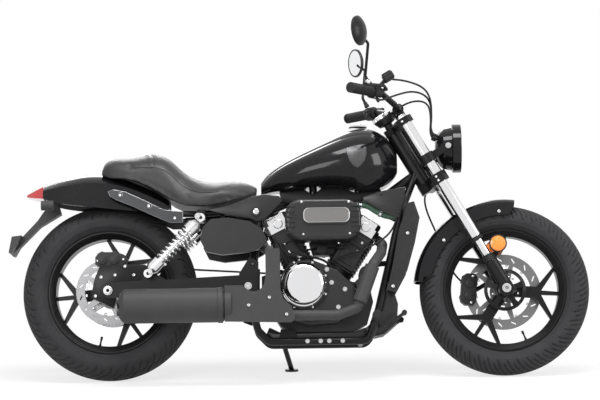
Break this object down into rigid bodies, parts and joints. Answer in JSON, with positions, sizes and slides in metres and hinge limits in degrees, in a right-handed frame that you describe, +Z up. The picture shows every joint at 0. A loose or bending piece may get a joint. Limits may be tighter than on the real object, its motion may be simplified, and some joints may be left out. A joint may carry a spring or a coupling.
{
  "type": "cruiser motorcycle",
  "caption": "V-twin cruiser motorcycle with belt drive, cast wheels, raked fork, finned cylinders, low seat and bobbed fenders, leaning on its side stand.",
  "frame": {"origin": "middle of the leaned machine's bounding box, on the floor", "axes": "+X forward along the machine, +Y to its left, +Z up"},
  "size_m": [2.0411, 0.8359, 1.2736],
  "materials": {
    "gloss_black_paint": "gloss black paint",
    "satin_black_paint": "satin black paint",
    "engine_black": "black engine enamel, machined edges",
    "exhaust_coating": "matte dark heat coating",
    "chrome": "polished chrome",
    "bare_steel": "turned and brushed steel",
    "silver_alloy": "satin aluminium",
    "tyre_rubber": "tyre rubber",
    "black_rubber": "matte rubber",
    "black_plastic": "grained black plastic",
    "grey_plastic": "dark grey moulded plastic",
    "gauge_plastic": "gloss black with a dark dial",
    "red_lens": "red lens",
    "amber_lens": "amber lens",
    "clear_lens": "clear lens",
    "seat_cover": "dark grey seat cover"
  },
  "bodies": {
    "chassis": {"rear_axle": "bare_steel", "frame": "satin_black_paint", "swingarm": "satin_black_paint", "rear_shocks": "satin_black_paint", "shock_springs": "chrome", "drive_belt": "black_rubber", "crankcase": "engine_black", "clutch_cover": "chrome", "pulley_cover": "gloss_black_paint", "cylinder_front": "engine_black", "cylinder_rear": "engine_black", "head_front": "silver_alloy", "head_rear": "silver_alloy", "air_cleaner": "satin_black_paint", "inlet_pipes": "black_rubber", "silencer": "exhaust_coating", "exhaust_pipes": "exhaust_coating", "fuel_tank": "gloss_black_paint", "tank_cap": "chrome", "seat": "seat_cover", "rear_fender": "gloss_black_paint", "fender_struts": "silver_alloy", "tail_light": "red_lens", "plate_bracket": "grey_plastic", "side_covers": "gloss_black_paint", "radiator": "silver_alloy", "radiator_shroud": "black_plastic", "foot_controls": "black_rubber", "rear_caliper": "satin_black_paint"},
    "steering": {"fork_tubes": "chrome", "fork_feet": "satin_black_paint", "triple_clamps": "satin_black_paint", "handlebar": "satin_black_paint", "bar_controls": "black_rubber", "mirrors": "satin_black_paint", "headlight": "gloss_black_paint", "headlight_lens": "clear_lens", "gauge": "gauge_plastic", "front_fender": "gloss_black_paint", "front_reflectors": "amber_lens", "front_caliper": "satin_black_paint", "front_axle": "bare_steel", "control_cables": "black_rubber"},
    "front_wheel": {"front_tyre": "tyre_rubber", "front_wheel": "satin_black_paint", "front_disc": "bare_steel"},
    "rear_wheel": {"rear_tyre": "tyre_rubber", "rear_wheel": "satin_black_paint", "rear_disc": "bare_steel", "rear_pulley": "bare_steel"},
    "side_stand": {"side_stand": "satin_black_paint"}
  },
  "joints": [
    {"name": "steering_turn", "type": "hinge", "parent": "chassis", "child": "steering", "pos_m": [0.68521, -0.13385, 0.2748], "axis": [-0.5075, 0.1496, 0.8485], "range_deg": [-38, 38]},
    {"name": "front_wheel_spin", "type": "hinge", "parent": "steering", "child": "front_wheel", "pos_m": [0.7214, -0.13014, 0.29579], "axis": [0, 0.9848, -0.1736], "continuous": true},
    {"name": "rear_wheel_spin", "type": "hinge", "parent": "chassis", "child": "rear_wheel", "pos_m": [-0.6686, -0.12858, 0.30466], "axis": [0, 0.9848, -0.1736], "continuous": true},
    {"name": "side_stand_fold", "type": "hinge", "parent": "chassis", "child": "side_stand", "pos_m": [-0.0636, -0.04193, 0.11655], "axis": [0, 0.9165, 0.4], "range_deg": [0, 99]}
  ]
}
